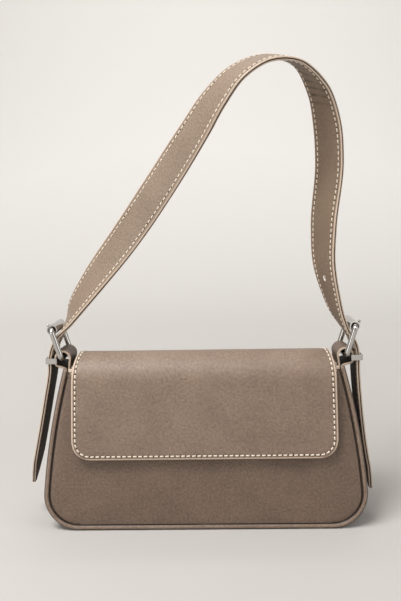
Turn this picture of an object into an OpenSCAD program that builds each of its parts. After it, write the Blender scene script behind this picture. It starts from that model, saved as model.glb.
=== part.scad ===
// Small flap-front shoulder bag with a piped body, a magnetic snap under the flap
// and one wide strap that is buckled to a leather hanger at each end.
// The origin is the centre of the underside, the flap faces -Y and the strap rises along +Z.

/* [Bag body] */
// Width over the seams at the widest point
body_w = 253.4; // [248:0.2:258]
// Depth over the two panels at the bottom
body_d = 70; // [66:1:76]
// Height of the panels' top hem
panel_top = 131; // [128:0.5:134]
// Lean of the front and back panels, in degrees
lean = 5.5; // [4.5:0.5:6.5]
// Radius of the bottom corners
corner_r = 24; // [20:1:28]
// Radius of the long curve up each side
side_r = 560; // [500:10:620]
// Angle at which the side curve starts, in degrees
side_lean = 5; // [4:0.5:6]
// Thickness of the backed leather
skin_t = 1.4; // [1.2:0.1:1.6]
// Diameter of the piping
piping_d = 4.5; // [4:0.1:5]
// Diameter of the cord inside the piping
piping_cord_d = 2.7; // [2.2:0.1:3]

/* [Flap] */
// Height of the flap's crest
crest_z = 143; // [141:0.5:145]
// Outer radius of both bends of the flap
crest_r = 12; // [10:0.5:13]
// Thickness of one of the flap's two layers
flap_layer_t = 1.5; // [1.2:0.1:1.6]
// Height of the flap's lower edge
flap_bottom = 60; // [54:1:66]
// Half width of the flap at its lower edge
flap_half_w = 104.6; // [103:0.2:105]
// Half width of the flap at the crest
crest_half_w = 101.6; // [100:0.2:103]
// Radius of the flap's lower corners
flap_corner_r = 13; // [10:1:16]
// Distance of each fold line from the middle of the crest
fold_y = 11; // [9:0.5:12]
// Length that the flap is sewn down on the back
anchor_l = 26; // [20:1:32]

/* [Magnetic snap] */
// Diameter of the snap
snap_d = 14; // [12:1:16]
// Height of the snap's centre
snap_z = 74; // [70:1:80]
// Thickness of the closed snap
snap_h = 4; // [3.6:0.1:4.4]

/* [Buckles] */
// Diameter of the buckle frame's wire
wire_d = 4.6; // [4:0.1:4.8]
// Distance of each roller from the middle of the bag
roller_x = 122.1; // [121:0.1:123]
// Height of the rollers
roller_z = 162.3; // [161:0.1:164]
// Tilt of the buckle frames, in degrees
buckle_tilt = 16.9; // [15:0.1:18]
// Distance between the heel bar and the roller
buckle_l = 24.1; // [23.5:0.1:24.5]
// Outer diameter of the roller
roller_d = 8.4; // [8:0.1:8.6]
// Diameter of the prong
prong_d = 2.4; // [2:0.1:2.6]

/* [Strap] */
// Width of the strap
strap_w = 28; // [27:0.2:28.4]
// Thickness of each of the strap's two layers
strap_layer_t = 1.57; // [1.4:0.01:1.6]
// Length of the pointed end
tip_l = 24; // [18:1:30]
// Width of the hangers
hanger_w = 26; // [24:0.5:27]
// Thickness of the hangers
hanger_t = 1.8; // [1.6:0.1:1.9]

/* [Hidden] */

taupe = [0.56, 0.49, 0.43];
taupe_dark = [0.45, 0.39, 0.34];
cloth = [0.62, 0.55, 0.46];
board = [0.35, 0.32, 0.30];
steel = [0.78, 0.77, 0.75];
iron = [0.40, 0.40, 0.42];
$fn = 48;

// Small distances
touch = 0.05;
fit = 0.08;
seam_gap = 0.6;
flange_l = 5;
far = 400;

// Seam planes: v runs up a leaning panel, w points out of it and 0 is the piping's centre line.
// A short straight run joins the corner's arc to the long side curve, and the tube is finer there.
piping_r = piping_d / 2;
panel_w = seam_gap / 2 + skin_t;
seam_half_d = body_d / 2 - panel_w / cos(lean) - piping_r * tan(lean);
panel_v = (panel_top - piping_r) / cos(lean);
corner_c = [body_w / 2 - corner_r, piping_r + corner_r];
side_run = 1;
side_c = corner_c + (corner_r - side_r) * [cos(side_lean), sin(side_lean)]
    + side_run * [-sin(side_lean), cos(side_lean)];

// Base that sags level with the piping
base_rim = [101, 30.6];
base_flat = [95, 25.5];

// Lining
lining_t = 0.8;
lining_w = seam_gap / 2 + 0.1;

// Flap sections, measured out from the seam planes
flap_t = 2 * flap_layer_t;
anchor_w = panel_w + touch + flap_t;
front_w = panel_w + snap_h + flap_t;
flap_gap = 0.15;
flap_v = (flap_bottom - piping_r - front_w * sin(lean)) / cos(lean);
fold_v = 129;
crest_v = 142.2;

// Snap parts
snap_r = snap_d / 2;
snap_v = (snap_z - piping_r) / cos(lean);
socket_h = 2.7;
stud_h = snap_h - socket_h - 0.1;
socket_hole_r = 3.4;
magnet_r = [3.9, 6.2];
magnet_h = 1.8;
nub = [2.6, 2.1];
leg = [0.6, 3.2];
washer = [6, 0.5];

// Buckle parts
wire_r = wire_d / 2;
leg_y = 17.9;
bend_r = 3;
roller_l = 30.4;
curl_t = 1;
curl_w = 3;

// Keeper, as the corners of its outside
keeper_x = [118.9, 128.9];
keeper_y = 15.4;
keeper_z = [134.2, 138.8];
keeper_t = 1;

// Hanger loop: its bends in anticlockwise order, as x, z and radius; the last is the pinch
loop_bends = [[118.7, 134.2, 3.3], [115, 138, 7], [112.4, 129.6, 1.9]];
hanger_foot_z = 103;

// Strap route from the left tip to the right tip: x, y, z and the twist of the width, in degrees
strap_route = [
    [-147, 0, 29, 0], [-139.5, 0, 62, 0], [-130.4, 0, 105, 0], [-126, 0, 128, 0],
    [-125.2, 0, 140, 0], [-123.3, 0, 147, 0], [-120.4, 0, 152.8, 0], [-116.8, -0.2, 158.4, 2],
    [-107.5, -3.8, 175, 26], [-92.5, -6.6, 196, 42], [-61, -10, 236, 58], [-31, -17.5, 277, 60],
    [-2.5, -27.5, 318, 52], [12, -33, 339, 43], [29, -35.3, 357, 31], [51, -31.5, 367.5, 19],
    [75, -23, 365, 4], [91.5, -13.5, 347, -20], [99.5, -7, 322, -35], [102, -4.6, 295, -38],
    [97.5, -7, 241, -32], [98, -6.8, 214, -26], [104, -4, 188, -17], [110.8, -1, 169, -8],
    [116.8, 0, 158.4, -1], [120.4, 0, 152.8, 0], [123.3, 0, 147, 0], [125, 0, 140, 0],
    [125.5, 0, 127, 0], [127.4, 0, 103, 0], [131.6, 0, 67, 0], [140, 0, 21, 0]
];
strap_last = len(strap_route) - 1;
ring_step = 7;
tip_half_w = 3;
// Holes: the station before each, how far on towards the next, and their length and width
prong_spot = [[5, 0.45], [25, 0.55]];
prong_hole = [9, 3.2];
spare_spot = [21, 0.5];
spare_hole = [4.2, 2.8];

function arc(c, r, from, to, n) =
    [for (i = [0 : n]) c + r * [cos(from + (to - from) * i / n), sin(from + (to - from) * i / n)]];
function tail_of(list) = [for (i = [1 : len(list) - 1]) list[i]];
function reversed(list) = [for (i = [len(list) - 1 : -1 : 0]) list[i]];
function mirrored(list) = [for (p = reversed(list)) [-p.x, p.y]];
function side_angle(v, grow = 0) = asin((v - side_c.y) / (side_r + grow));
function side_point(v, grow) = side_c
    + (side_r + grow) * [cos(side_angle(v)), sin(side_angle(v))];

// Seam outline of a panel in its own plane, grown outwards
function half_outline(grow, top) = concat(
    arc(corner_c, corner_r + grow, -90, side_lean, 12),
    tail_of(arc(side_c, side_r + grow, side_lean, side_angle(top, grow), 6))
);
function outline(grow = 0, top = panel_v) =
    concat(half_outline(grow, top), mirrored(half_outline(grow, top)));

// Point of a leaning plane as distance from the middle plane and height
function on_plane(v, w) = [
    seam_half_d - v * sin(lean) + w * cos(lean),
    piping_r + v * cos(lean) + w * sin(lean)
];
function upright(points) = [for (p = points) [p.x, piping_r + p.y * cos(lean)]];

module front_plane() {
    translate([0, -seam_half_d, piping_r]) rotate([90 - lean, 0, 0]) children();
}

module back_plane() {
    mirror([0, 1, 0]) front_plane() children();
}

module along_x(length) {
    rotate([90, 0, 90]) linear_extrude(length, center = true) children();
}

module along_y(length) {
    rotate([90, 0, 0]) linear_extrude(length, center = true) children();
}

// Everything between the two seam planes, drawn in by inset
module between_panels(inset) {
    low = on_plane(-10, -inset);
    high = on_plane(160, -inset);
    along_x(far) polygon([low, high, [-high.x, high.y], [-low.x, low.y]]);
}

module panel() {
    translate([0, 0, seam_gap / 2]) linear_extrude(skin_t) polygon(outline());
}

module leg_slots(depth) {
    for (side = [-1, 1])
        translate([side * 3.5, 0, 0]) cube([leg.x + 0.2, leg.y + 0.2, depth], center = true);
}

module front_panel() color(taupe) front_plane() difference() {
    panel();
    translate([0, snap_v, panel_w]) leg_slots(8);
}

module back_panel() color(taupe) back_plane() panel();

// Base with its flat middle on the floor, between the rim and the flat
module base_dish(lift) {
    intersection() {
        along_x(far) polygon([
            [-base_rim.y, 6 + lift], [-base_rim.y, 4.4 + lift], [-base_flat.y, lift],
            [base_flat.y, lift], [base_rim.y, 4.4 + lift], [base_rim.y, 6 + lift]
        ]);
        along_y(far) polygon([
            [-base_rim.x, 6 + lift], [-base_rim.x, 4.4 + lift], [-base_flat.x, lift],
            [base_flat.x, lift], [base_rim.x, 4.4 + lift], [base_rim.x, 6 + lift]
        ]);
    }
}

module gusset() color(taupe_dark) difference() {
    union() {
        intersection() {
            along_y(far) difference() {
                polygon(upright(outline()));
                polygon(upright(outline(-skin_t, panel_v + 10)));
            }
            between_panels(seam_gap / 2);
        }
        intersection() {
            base_dish(0);
            translate([0, 0, 3]) cube([far, far, 2 * (3 + skin_t)], center = true);
        }
    }
    base_dish(skin_t);
}

// Round tube that follows the seam at the piping's centre line
module seam_tube(r) {
    span = corner_c.x;
    side_end = side_angle(panel_v);
    rotate([0, 90, 0]) rotate(-90) cylinder(h = 2 * span, r = r, center = true);
    for (side = [0, 1]) mirror([side, 0, 0]) {
        translate(corner_c) rotate(-90) rotate_extrude(angle = 90 + side_lean)
            translate([corner_r + piping_r, 0]) circle(r);
        translate(corner_c) rotate(side_lean) translate([corner_r + piping_r, -side_run / 2])
            rotate([-90, 0, 0]) cylinder(h = 2 * side_run, r = r - touch);
        translate(side_c) rotate(side_lean) rotate_extrude(angle = side_end - side_lean)
            translate([side_r + piping_r, 0]) circle(r);
    }
}

// Piping: a skin round the cord and the flange that is sewn between panel and gusset
module piping() {
    translate([0, 0, -seam_gap / 2]) linear_extrude(seam_gap) difference() {
        polygon(outline(0.4));
        polygon(outline(-flange_l, panel_v + 10));
    }
    difference() {
        seam_tube(piping_r);
        seam_tube(piping_cord_d / 2 + touch);
    }
}

module front_piping() color(taupe) front_plane() piping();
module back_piping() color(taupe) back_plane() piping();
module front_piping_cord() color(cloth) front_plane() seam_tube(piping_cord_d / 2);
module back_piping_cord() color(cloth) back_plane() seam_tube(piping_cord_d / 2);

module lining_block(inset) {
    intersection() {
        along_y(far) polygon(upright(outline(-skin_t - 0.1 - inset, panel_v + (inset > 0 ? 10 : 0))));
        between_panels(lining_w + inset);
    }
}

module lining() color(cloth) difference() {
    lining_block(0);
    lining_block(lining_t);
}

module base_board() color(board) {
    size = [2 * base_flat.x - 6, 2 * base_flat.y - 6, 3];
    translate([0, 0, skin_t + touch + size.z / 2]) cube(size, center = true);
}

// Open-topped slip pocket on the lining of the back
module inner_pocket() color(cloth) {
    size = [130, 75, 7.6];
    wall = 0.6;
    back = -(lining_w + lining_t);
    back_plane() translate([0, 48 + size.y / 2, back - size.z / 2]) difference() {
        cube(size, center = true);
        translate([0, wall + 1, wall])
            cube([size.x - 2 * wall, size.y + 2, size.z], center = true);
    }
}

module snap_place() {
    front_plane() translate([0, snap_v, panel_w]) children();
}

module snap_socket() color(steel) snap_place() {
    difference() {
        cylinder(h = socket_h, r = snap_r);
        translate([0, 0, 0.4]) cylinder(h = socket_h, r = socket_hole_r);
        difference() {
            translate([0, 0, -1]) cylinder(h = 1 + magnet_h + fit, r = magnet_r[1] + fit);
            translate([0, 0, -2]) cylinder(h = 8, r = magnet_r[0] - fit);
        }
    }
    for (side = [-1, 1])
        translate([side * 3.5, 0, -(skin_t + washer[1]) / 2 + 0.2])
            cube([leg.x, leg.y, skin_t + washer[1] + 0.4], center = true);
}

module snap_magnet() color(iron) snap_place() difference() {
    cylinder(h = magnet_h, r = magnet_r[1]);
    translate([0, 0, -1]) cylinder(h = magnet_h + 2, r = magnet_r[0]);
    leg_slots(2);
}

module snap_washer() {
    difference() {
        cylinder(h = washer[1], r = washer[0]);
        translate([0, 0, washer[1] / 2]) leg_slots(4);
    }
}

module socket_washer() color(steel)
    snap_place() translate([0, 0, -skin_t - washer[1]]) snap_washer();

module stud_place() {
    snap_place() translate([0, 0, snap_h]) children();
}

module snap_stud() color(steel) stud_place() {
    translate([0, 0, -stud_h]) cylinder(h = stud_h, r = snap_r);
    translate([0, 0, -stud_h - nub[1]]) cylinder(h = nub[1] + 0.1, r = nub[0]);
    for (side = [-1, 1])
        translate([side * 3.5, 0, (flap_layer_t + washer[1]) / 2 - 0.2])
            cube([leg.x, leg.y, flap_layer_t + washer[1] + 0.4], center = true);
}

module stud_washer() color(steel)
    stud_place() translate([0, 0, flap_layer_t]) snap_washer();

// Section of the flap over one bend, between two depths below its outer surface
function bend_section(plane_w, start_y, end_v, outer, inner) =
    let (centre = on_plane((crest_z - crest_r - piping_r - (plane_w - crest_r) * sin(lean))
        / cos(lean), plane_w - crest_r))
    concat(
        [[start_y, crest_z - outer]],
        arc(centre, crest_r - outer, 90, lean, 12),
        [on_plane(end_v, plane_w - outer), on_plane(end_v, plane_w - inner)],
        arc(centre, crest_r - inner, lean, 90, 12),
        [[start_y, crest_z - inner]]
    );

module flap_anchor() color(taupe) along_x(2 * crest_half_w)
    polygon(bend_section(anchor_w, fold_y + flap_gap, panel_v - anchor_l, 0, flap_t));

module flap_top_layer(outer, inner) {
    size = [2 * crest_half_w, 2 * (fold_y - flap_gap), inner - outer];
    translate([0, 0, crest_z - (outer + inner) / 2]) cube(size, center = true);
}

module flap_top_face() color(taupe) flap_top_layer(0, flap_layer_t);
module flap_top_lining() color(taupe_dark) flap_top_layer(flap_layer_t, flap_t);

module flap_front_layer(outer, inner) {
    half = concat(
        arc([flap_half_w - flap_corner_r, flap_v + flap_corner_r], flap_corner_r, -90, 0, 10),
        [[flap_half_w - 1, fold_v], [crest_half_w, crest_v]]
    );
    intersection() {
        mirror([0, 1, 0]) along_x(far)
            polygon(bend_section(front_w, fold_y + flap_gap, flap_v - 5, outer, inner));
        front_plane() translate([0, 0, -60]) linear_extrude(120)
            polygon(concat(half, mirrored(half)));
    }
}

module flap_front_face() color(taupe) difference() {
    flap_front_layer(0, flap_layer_t);
    stud_place() translate([0, 0, flap_layer_t - 0.5])
        cylinder(h = washer[1] + 0.6, r = washer[0] + fit);
}

module flap_front_lining() color(taupe_dark) difference() {
    flap_front_layer(flap_layer_t, flap_t);
    stud_place() translate([0, 0, flap_layer_t / 2]) leg_slots(8);
}

// Direction of the outside line from one round bend to the next, as the angle of its normal
function tangent_angle(a, b) =
    let (d = [b[0] - a[0], b[1] - a[1]])
    atan2(d.y, d.x) - acos((a[2] - b[2]) / norm(d));

// Outline of the hanger's loop round its bends, drawn in by inset
module loop_outline(inset) {
    n = len(loop_bends);
    polygon([for (i = [0 : n - 1])
        let (
            c = loop_bends[i],
            from = tangent_angle(loop_bends[(i + n - 1) % n], c),
            to = tangent_angle(c, loop_bends[(i + 1) % n])
        )
        each arc([c[0], c[1]], c[2] - inset, from, to < from ? to + 360 : to, 12)]);
}

// Hanger: a strip folded round the heel bar, with both ends sewn to the side of the gusset
module hanger() difference() {
    foot_v = (hanger_foot_z - piping_r) / cos(lean);
    head_v = (loop_bends[2][1] - 1 - piping_r) / cos(lean);
    levels = [for (i = [0 : 4]) foot_v + (head_v - foot_v) * i / 4];
    union() {
        along_y(hanger_w) loop_outline(0);
        along_y(hanger_w) polygon(upright(concat(
            [for (v = levels) side_point(v, touch)],
            [for (v = reversed(levels)) side_point(v, touch + 2 * hanger_t)]
        )));
    }
    along_y(hanger_w + 2) loop_outline(hanger_t);
    // Slot that lets the prong out through the top of the fold
    translate([loop_bends[1][0] + 6.6, 0, loop_bends[1][1] + 3.8])
        rotate([0, buckle_tilt, 0]) cube([9, prong_d + 2.2, 9], center = true);
}

module hanger_right() color(taupe_dark) hanger();
module hanger_left() color(taupe_dark) mirror([1, 0, 0]) hanger();

module buckle_place() {
    translate([roller_x, 0, roller_z]) rotate([0, buckle_tilt, 0]) children();
}

// Rectangular wire frame with its four corners bent round
module buckle_frame() buckle_place() {
    for (end = [0, 1]) {
        translate([0, 0, -end * buckle_l]) rotate([90, 0, 0])
            cylinder(h = 2 * (leg_y - bend_r), r = wire_r, center = true);
        for (side = [-1, 1])
            translate([0, side * (leg_y - bend_r), end ? bend_r - buckle_l : -bend_r])
                rotate([0, 90, 0]) rotate(end ? (side > 0 ? 0 : -90) : (side > 0 ? 90 : 180))
                    quarter_bend();
    }
    for (side = [-1, 1])
        translate([0, side * leg_y, -buckle_l + bend_r])
            cylinder(h = buckle_l - 2 * bend_r, r = wire_r);
}

module quarter_bend() {
    rotate_extrude(angle = 90) translate([bend_r, 0]) circle(wire_r);
}

module roller() buckle_place() rotate([90, 0, 0]) difference() {
    cylinder(h = roller_l, r = roller_d / 2, center = true);
    cylinder(h = roller_l + 2, r = wire_r + fit, center = true);
    for (side = [0, 1]) mirror([0, 0, side])
        translate([0, 0, roller_l / 2 - 6]) cylinder(h = 7, r = roller_d / 2 - 0.9);
}

// Prong: a flat curl round the heel bar and a round shank that rests on the roller
module prong() buckle_place() {
    curl_r = wire_r + fit + curl_t;
    lean_in = atan((roller_d / 2 + prong_d / 2 + 0.1 - 2.3) / buckle_l);
    difference() {
        translate([0, 0, -buckle_l]) union() {
            rotate([90, 0, 0]) cylinder(h = curl_w, r = curl_r, center = true);
            translate([2.3, 0, 0]) rotate([0, lean_in, 0]) {
                cylinder(h = buckle_l + 3.5, r = prong_d / 2);
                translate([0, 0, buckle_l + 3.5]) sphere(prong_d / 2);
            }
        }
        translate([0, 0, -buckle_l]) rotate([90, 0, 0])
            cylinder(h = 10, r = wire_r + fit, center = true);
    }
}

module rounded_rect(size, r) {
    square([size.x, size.y - 2 * r], center = true);
    square([size.x - 2 * r, size.y], center = true);
    for (x = [-1, 1], y = [-1, 1])
        translate([x * (size.x / 2 - r), y * (size.y / 2 - r)]) circle(r);
}

// Keeper: a band that holds the hanging end against the hanger's loop
module keeper() {
    size = [keeper_x[1] - keeper_x[0], 2 * keeper_y];
    translate([(keeper_x[0] + keeper_x[1]) / 2, 0, keeper_z[0]])
        linear_extrude(keeper_z[1] - keeper_z[0]) difference() {
            rounded_rect(size, 1.4);
            rounded_rect(size - 2 * [keeper_t, keeper_t], 0.5);
        }
}

module buckle_right() color(steel) buckle_frame();
module buckle_left() color(steel) mirror([1, 0, 0]) buckle_frame();
module roller_right() color(steel) roller();
module roller_left() color(steel) mirror([1, 0, 0]) roller();
module prong_right() color(steel) prong();
module prong_left() color(steel) mirror([1, 0, 0]) prong();
module keeper_right() color(steel) keeper();
module keeper_left() color(steel) mirror([1, 0, 0]) keeper();

// Strap: a smooth curve through the stations, as position and twist
function spot(i) = [for (k = [0 : 2]) strap_route[i][k]];
function stretch(i) = norm(spot(i + 1) - spot(i));
function slope(i) = i == 0 ? (strap_route[1] - strap_route[0]) / stretch(0)
    : i == strap_last ? (strap_route[i] - strap_route[i - 1]) / stretch(i - 1)
    : ((strap_route[i + 1] - strap_route[i]) / stretch(i) * stretch(i - 1)
        + (strap_route[i] - strap_route[i - 1]) / stretch(i - 1) * stretch(i))
        / (stretch(i - 1) + stretch(i));
function on_route(i, t) =
    (2 * t ^ 3 - 3 * t ^ 2 + 1) * strap_route[i] + (t ^ 3 - 2 * t ^ 2 + t) * stretch(i) * slope(i)
    + (3 * t ^ 2 - 2 * t ^ 3) * strap_route[i + 1] + (t ^ 3 - t ^ 2) * stretch(i) * slope(i + 1);
function heading(i, t) =
    let (a = on_route(i, max(t - 0.02, 0)), b = on_route(i, min(t + 0.02, 1)), d = b - a)
    [d[0], d[1], d[2]] / norm([d[0], d[1], d[2]]);

// Frame of the strap at a point: place, direction, width direction and outward direction
function strap_frame(i, t) =
    let (
        p = on_route(i, t),
        along = heading(i, t),
        start = [0, -1, 0] - ([0, -1, 0] * along) * along,
        square_on = start / norm(start),
        wide = cos(p[3]) * square_on + sin(p[3]) * cross(along, square_on)
    )
    [[p[0], p[1], p[2]], along, wide, cross(wide, along)];

function tip_distance(i, t) = min(
    norm(on_route(i, t) - strap_route[0]), norm(on_route(i, t) - strap_route[strap_last]));
function half_width(d) = d >= tip_l ? strap_w / 2
    : max(tip_half_w, strap_w / 2 * (d / tip_l) ^ 0.62);

strap_frames = [
    for (i = [0 : strap_last - 1])
        let (n = ceil(stretch(i) / (i == 0 || i == strap_last - 1 ? 4 : ring_step)))
        for (k = [0 : n - (i == strap_last - 1 ? 0 : 1)])
            concat(strap_frame(i, k / n), [half_width(tip_distance(i, k / n))])
];

module strap_layer(low, high) {
    rings = len(strap_frames);
    points = [for (f = strap_frames, c = [[-1, low], [1, low], [1, high], [-1, high]])
        f[0] + c[0] * f[4] * f[2] + c[1] * f[3]];
    // The side towards the other layer is split along the same diagonals as that layer's own
    sides = [for (r = [0 : rings - 2], c = [0 : 3])
        let (a = 4 * r + c, b = 4 * r + (c + 1) % 4)
        each c == 2 ? [[a, b, a + 4], [b, b + 4, a + 4]] : [[a, b, b + 4], [a, b + 4, a + 4]]];
    ends = [[0, 3, 2], [0, 2, 1],
        each [for (f = [[0, 1, 2], [0, 2, 3]]) [for (k = f) 4 * (rings - 1) + k]]];
    difference() {
        polyhedron(points, concat(sides, ends));
        for (s = prong_spot) slot(strap_frame(s.x, s.y), prong_hole);
        slot(strap_frame(spare_spot.x, spare_spot.y), spare_hole);
    }
}

// Oval hole through the strap, as length along it and width
module slot(f, size) {
    multmatrix([
        [f[1].x, f[2].x, -f[3].x, f[0].x],
        [f[1].y, f[2].y, -f[3].y, f[0].y],
        [f[1].z, f[2].z, -f[3].z, f[0].z],
        [0, 0, 0, 1]
    ]) {
        reach = size.x - size.y;
        cube([reach, size.y, 8], center = true);
        for (end = [-1, 1])
            translate([end * reach / 2, 0, 0]) cylinder(h = 8, r = size.y / 2, center = true);
    }
}

module strap_face() color(taupe) strap_layer(0.03, strap_layer_t);
module strap_lining() color(taupe_dark) strap_layer(-strap_layer_t, -0.03);

front_panel();
back_panel();
gusset();
front_piping();
back_piping();
front_piping_cord();
back_piping_cord();
lining();
base_board();
inner_pocket();
snap_socket();
snap_magnet();
socket_washer();
flap_anchor();
flap_top_face();
flap_top_lining();
flap_front_face();
flap_front_lining();
snap_stud();
stud_washer();
hanger_left();
hanger_right();
strap_face();
strap_lining();
buckle_left();
buckle_right();
roller_left();
roller_right();
prong_left();
prong_right();
keeper_left();
keeper_right();
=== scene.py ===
"""Looks of a flap-front shoulder bag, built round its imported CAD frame.

All lengths are in metres. The bag's shell, flap, hangers, strap, lining and pocket are meshes
made here; the metal parts are the CAD nodes with their finishes.
"""

import math

import bmesh
import bpy
import numpy as np
from mathutils import Matrix, Vector, noise


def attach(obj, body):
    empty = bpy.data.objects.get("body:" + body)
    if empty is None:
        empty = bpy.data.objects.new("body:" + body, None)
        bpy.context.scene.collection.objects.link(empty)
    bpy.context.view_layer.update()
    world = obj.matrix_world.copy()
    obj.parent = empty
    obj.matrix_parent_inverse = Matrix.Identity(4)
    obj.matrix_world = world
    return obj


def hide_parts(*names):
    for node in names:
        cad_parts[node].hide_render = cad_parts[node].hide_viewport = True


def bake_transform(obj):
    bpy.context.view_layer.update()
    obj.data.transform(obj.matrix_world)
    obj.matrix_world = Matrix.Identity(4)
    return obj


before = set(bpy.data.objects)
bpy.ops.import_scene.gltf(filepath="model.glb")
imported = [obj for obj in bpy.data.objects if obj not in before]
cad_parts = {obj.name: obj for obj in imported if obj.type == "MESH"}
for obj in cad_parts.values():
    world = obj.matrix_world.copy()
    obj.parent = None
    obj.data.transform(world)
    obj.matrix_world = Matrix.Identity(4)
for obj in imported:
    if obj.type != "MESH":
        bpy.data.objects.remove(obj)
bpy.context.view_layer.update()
scene = bpy.context.scene
MM = 0.001

# Camera fitted to the photograph: place, then turn, tilt and roll in degrees
CAMERA_AT = (9.8 * MM, -555 * MM, 260.7 * MM)
CAMERA_TURN = (-1.2, 8, -1.0)
LENS, SENSOR = 40.79, 36

# Bag body, as in the CAD source: v runs up a leaning panel, w points out of it
LEAN = math.radians(5.5)
PIPING_R = 2.25 * MM
SKIN = 1.4 * MM
SEAM_GAP = 0.6 * MM
PANEL_W = SEAM_GAP / 2 + SKIN
CORNER_R = 24 * MM
SIDE_R = 560 * MM
SIDE_LEAN = math.radians(5)
SIDE_RUN = 1 * MM
PANEL_V = (131 * MM - PIPING_R) / math.cos(LEAN)
SEAM_HALF_D = 35 * MM - PANEL_W / math.cos(LEAN) - PIPING_R * math.tan(LEAN)
CORNER_C = (126.7 * MM - CORNER_R, PIPING_R + CORNER_R)
SIDE_C = (
    CORNER_C[0] + (CORNER_R - SIDE_R) * math.cos(SIDE_LEAN) - SIDE_RUN * math.sin(SIDE_LEAN),
    CORNER_C[1] + (CORNER_R - SIDE_R) * math.sin(SIDE_LEAN) + SIDE_RUN * math.cos(SIDE_LEAN),
)

# Soft form of the panels and gusset
SEAM_DIVE = 1.2 * MM
CROWN, CROWN_RUN = 1.3 * MM, 45 * MM
SNAP_FLAT_R = 15 * MM
HEM_STEP, HEM_W, HEM_SEAM_IN = 0.45 * MM, 7 * MM, 3.4 * MM
GUSSET_HOLLOW, GUSSET_PINCH = 2.4 * MM, 1.5 * MM
CORD_R = 1.2 * MM

# Flap
CREST_Z = 143 * MM
CREST_R = 12 * MM
FRONT_BEND_R = 24 * MM
FLAP_T = 3 * MM
FRONT_W = PANEL_W + 4 * MM + FLAP_T
ANCHOR_W = PANEL_W + 0.05 * MM + FLAP_T
FLAP_V = (60 * MM - PIPING_R - FRONT_W * math.sin(LEAN)) / math.cos(LEAN)
ANCHOR_V = PANEL_V - 26 * MM
FLAP_HALF_W = 106.2 * MM
CREST_HALF_W = 101.6 * MM
FLAP_CORNER_R = 14.6 * MM
REAR_CORNER_R = 6 * MM
CREST_SINK, SINK_FROM, SINK_RUN = 4.8 * MM, -10 * MM, 26 * MM
HINGE_NEAR, HINGE_FAR = 7 * MM, 15 * MM
SNAP_V = (74 * MM - PIPING_R) / math.cos(LEAN)

# Strap, as in the CAD source
STRAP_ROUTE = np.array([
    (-147, 0, 29, 0), (-139.5, 0, 62, 0), (-130.4, 0, 105, 0), (-126, 0, 128, 0),
    (-125.2, 0, 140, 0), (-123.3, 0, 147, 0), (-120.4, 0, 152.8, 0), (-116.8, -0.2, 158.4, 2),
    (-107.5, -3.8, 175, 26), (-92.5, -6.6, 196, 42), (-61, -10, 236, 58), (-31, -17.5, 277, 60),
    (-2.5, -27.5, 318, 52), (12, -33, 339, 43), (29, -35.3, 357, 31), (51, -31.5, 367.5, 19),
    (75, -23, 365, 4), (91.5, -13.5, 347, -20), (99.5, -7, 322, -35), (102, -4.6, 295, -38),
    (97.5, -7, 241, -32), (98, -6.8, 214, -26), (104, -4, 188, -17), (110.8, -1, 169, -8),
    (116.8, 0, 158.4, -1), (120.4, 0, 152.8, 0), (123.3, 0, 147, 0), (125, 0, 140, 0),
    (125.5, 0, 127, 0), (127.4, 0, 103, 0), (131.6, 0, 67, 0), (140, 0, 21, 0),
]) * (MM, MM, MM, math.radians(1))
STRAP_HALF_W = 14 * MM
STRAP_LAYER = (0.03 * MM, 1.57 * MM)
CORE_PROUD, CORE_T = 0.3 * MM, 1 * MM
TIP_L = 24 * MM
STRAP_STEP, TIP_STEP = 3.4 * MM, 1.2 * MM
# Oval holes: stretch of the route, place along it, length and width
PRONG_HOLES = ((5, 0.45, 9 * MM, 3.2 * MM), (25, 0.55, 9 * MM, 3.2 * MM))
SPARE_HOLE = (21, 0.5, 4.2 * MM, 2.8 * MM)
HOLE_RIM_R = 0.38 * MM
CREASED_MM = (416, 476)
TAIL_L = 112 * MM

# Hanger: its loop's upper, lower and pinched bends as x, z and radius
LOOP_BENDS = ((115, 138, 7), (118.7, 134.2, 3.3), (112.4, 129.6, 1.9))
HANGER_T = 1.8 * MM
HANGER_HALF_W = 13 * MM
HANGER_FOOT_Z = 103 * MM
HANGER_SEWN = 23 * MM
BUCKLE_TILT = math.radians(16.9)
PRONG_SLOT_AT = (125.3 * MM, 138 * MM)
PRONG_SLOT_HALF = (4.5 * MM, 2.3 * MM, 4.5 * MM)

# Leather's grain, plating and sewing
GRAIN_DEPTH = 0.11 * MM
SHARP = math.radians(32)
PITCH = 4.3 * MM
STITCH = 3.3 * MM
THREAD_R = 0.58 * MM
STRAP_THREAD_R = 0.47 * MM
HOLE_R = 0.72 * MM
SEAM_IN = 3.1 * MM
FLAP_SEAM_IN = 2.8 * MM

# Stage and light
WALL_Y, WALL_BEND_R, WALL_TOP, STAGE_REACH = 2.2, 1.2, 5.0, 12.0
FLOOR_TONE, WALL_TONE = (0.42, 0.4, 0.38, 1), (0.8, 0.78, 0.755, 1)
SKY_LOW, SKY_HIGH = (0.5, 0.488, 0.472, 1), (0.6, 0.584, 0.562, 1)
BAG_MIDDLE = (0, 0, 0.15)
# Soft lights: name, place, aim, size and watts
LIGHTS = (
    ("key_light", (-0.5, -0.5, 1.4), BAG_MIDDLE, (0.7, 0.6), 26),
    ("side_light", (1.2, -0.5, 0.6), BAG_MIDDLE, (0.4, 0.8), 3.2),
    ("strip_light", (-0.75, -0.8, 0.4), BAG_MIDDLE, (0.3, 0.9), 2.8),
    ("glint_light", (0.27, -0.68, 0.03), (0.124, 0, 0.137), (0.16, 0.14), 0.05),
    ("wall_light", (0, 0.9, 2.3), (0, 2.2, 0.5), (1.6, 0.5), 13),
)


def in_scene(name, data):
    obj = bpy.data.objects.new(name, data)
    scene.collection.objects.link(obj)
    return obj


# Camera, as the photograph was taken

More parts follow.
